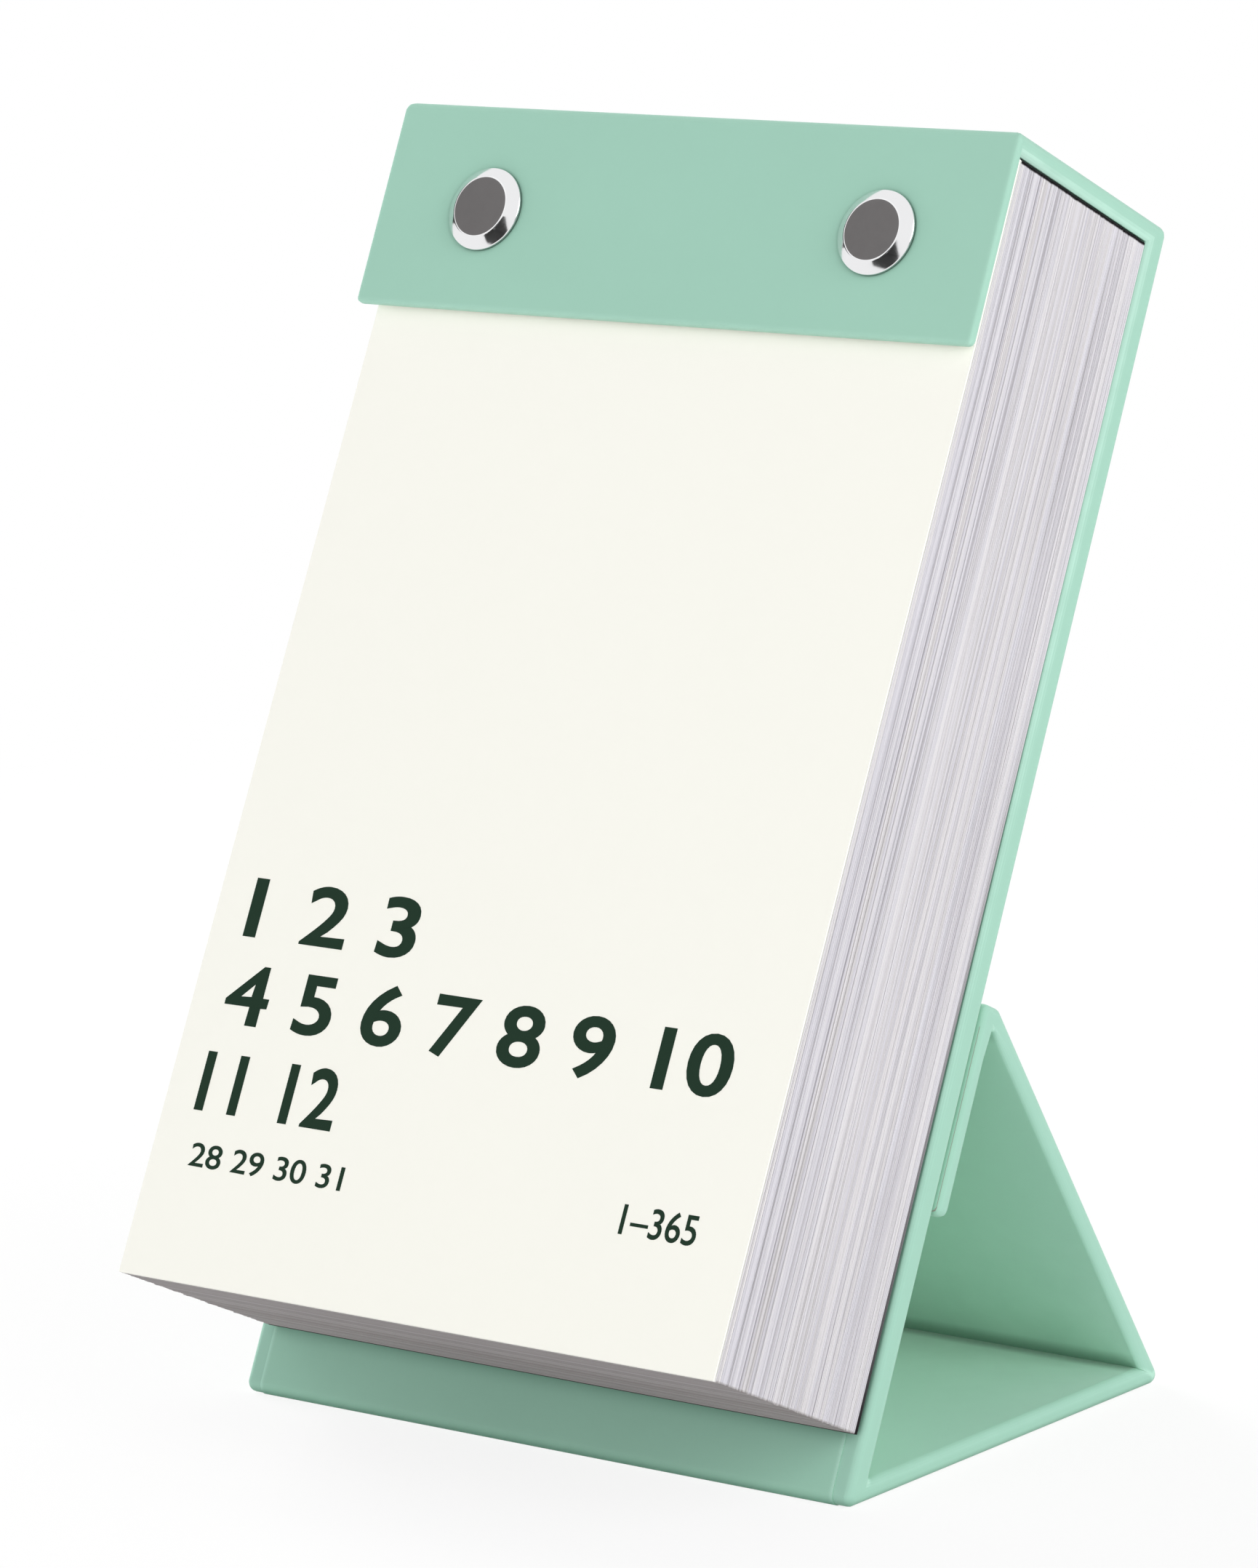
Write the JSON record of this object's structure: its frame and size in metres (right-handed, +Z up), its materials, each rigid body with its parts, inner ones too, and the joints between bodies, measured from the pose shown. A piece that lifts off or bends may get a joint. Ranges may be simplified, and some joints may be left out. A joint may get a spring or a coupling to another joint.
{
  "type": "desk calendar",
  "caption": "Free-standing tear-off desk calendar: a thick block of sheets on two binding posts in a paper-covered board case whose foot, strut and tab fold into a leaning stand.",
  "frame": {"origin": "on the table, at the middle of the calendar's footprint box (bounding box bottom centre)", "axes": "+Z up; +X to the right of someone who looks at the page face; the page face looks towards -Y and leans back 25 degrees; the stand is at +Y"},
  "size_m": [0.095, 0.0974, 0.1619],
  "materials": {
    "case_paper": "smooth matt covering paper, mint",
    "liner_paper": "smooth matt lining paper, mint",
    "greyboard": "raw greyboard",
    "cover_sheet": "off-white uncoated card",
    "day_sheets": "white uncoated paper",
    "post_metal": "bright nickel plate",
    "magnet": "nickel-plated disc magnet"
  },
  "bodies": {
    "case": {"case_paper": "case_paper", "back_board": "greyboard", "spine_board": "greyboard", "flap_card": "greyboard", "back_liner": "liner_paper", "spine_liner": "liner_paper", "flap_liner": "liner_paper", "back_magnet_left": "magnet", "back_magnet_right": "magnet", "floor_fold": "case_paper", "post_left": "post_metal", "post_right": "post_metal", "cover_stub": "cover_sheet", "sheets_january": "day_sheets", "sheets_february": "day_sheets", "sheets_march": "day_sheets", "sheets_april": "day_sheets", "sheets_may": "day_sheets", "sheets_june": "day_sheets", "sheets_july": "day_sheets", "sheets_august": "day_sheets", "sheets_september": "day_sheets", "sheets_october": "day_sheets", "sheets_november": "day_sheets", "sheets_december": "day_sheets"},
    "base": {"base_board": "greyboard", "base_paper": "case_paper", "base_liner": "liner_paper", "rear_fold": "case_paper"},
    "strut": {"strut_board": "greyboard", "strut_paper": "case_paper", "strut_liner": "liner_paper"},
    "tab": {"tab_board": "greyboard", "tab_paper": "case_paper", "tab_liner": "liner_paper", "tab_magnet_left": "magnet", "tab_magnet_right": "magnet", "ridge_fold": "case_paper"},
    "cover": {"cover_leaf": "cover_sheet"},
    "screw_left": {"screw_left": "post_metal"},
    "screw_right": {"screw_right": "post_metal"}
  },
  "joints": [
    {"name": "stand_fold", "type": "hinge", "parent": "case", "child": "base", "pos_m": [0, -0.01813, 0.0028], "axis": [1, 0, 0], "range_deg": [0, 61.5]},
    {"name": "strut_fold", "type": "hinge", "parent": "base", "child": "strut", "pos_m": [0, 0.0439, 0.0014], "axis": [1, 0, 0], "range_deg": [-118.8, 0]},
    {"name": "tab_fold", "type": "hinge", "parent": "strut", "child": "tab", "pos_m": [0, 0.00879, 0.05318], "axis": [1, 0, 0], "range_deg": [0, 57.3]},
    {"name": "cover_lift", "type": "hinge", "parent": "case", "child": "cover", "pos_m": [0, 0.00576, 0.13436], "axis": [-1, 0, 0], "range_deg": [0, 138]},
    {"name": "screw_left_turn", "type": "hinge", "parent": "case", "child": "screw_left", "pos_m": [-0.03025, 0.04343, 0.13434], "axis": [0, 0.9063, -0.4226], "continuous": true},
    {"name": "screw_right_turn", "type": "hinge", "parent": "case", "child": "screw_right", "pos_m": [0.03025, 0.04343, 0.13434], "axis": [0, 0.9063, -0.4226], "continuous": true}
  ],
  "couplings": [
    {"joint": "strut_fold", "follows": "stand_fold", "ratio": -1.9311},
    {"joint": "tab_fold", "follows": "stand_fold", "ratio": 0.93106}
  ]
}
